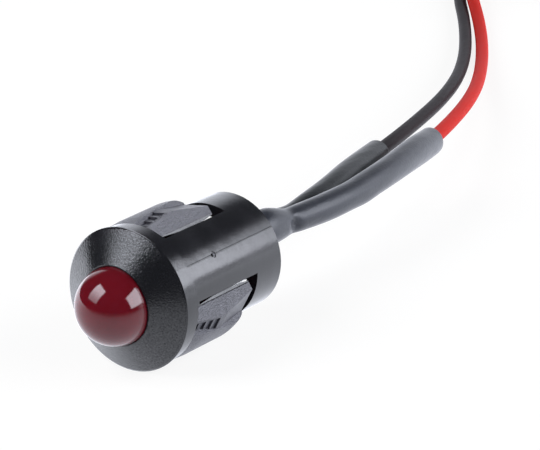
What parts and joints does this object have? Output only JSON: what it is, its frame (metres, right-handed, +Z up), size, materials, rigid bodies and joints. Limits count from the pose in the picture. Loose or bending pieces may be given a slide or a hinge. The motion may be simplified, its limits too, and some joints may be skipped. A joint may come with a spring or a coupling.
{
  "type": "panel mount indicator light",
  "caption": "Snap-in panel indicator light: a domed red LED in a conical black bezel with toothed spring tabs, and sleeved flying leads with stripped ends.",
  "frame": {"origin": "on the bezel's axis, in the panel seat, which is the rear face of its collar", "axes": "+Y along the axis from the lens to the leads, the way the light is pushed into its panel; +Z up from the surface it lies on"},
  "size_m": [0.0371, 0.0997, 0.0093],
  "materials": {
    "bezel_nylon": "black nylon, fine spark-eroded grain",
    "red_lens": "glossy dark red epoxy, tinted and diffused",
    "tinned_steel": "bright tin plating",
    "solder": "dull solder",
    "wire_strands": "tinned copper strands",
    "shrink_sleeve": "slate black polyolefin, satin",
    "red_insulation": "red PVC, satin",
    "black_insulation": "black PVC, satin"
  },
  "bodies": {
    "root": {"housing": "bezel_nylon", "led_lens": "red_lens", "led_anode_lead": "tinned_steel", "led_cathode_lead": "tinned_steel", "anode_solder": "solder", "cathode_solder": "solder", "red_wire_core": "wire_strands", "black_wire_core": "wire_strands", "anode_sleeve": "shrink_sleeve", "cathode_sleeve": "shrink_sleeve", "red_wire": "red_insulation", "black_wire": "black_insulation", "red_wire_coil": "red_insulation", "black_wire_coil": "black_insulation", "red_wire_tip": "wire_strands", "black_wire_tip": "wire_strands"}
  },
  "joints": []
}
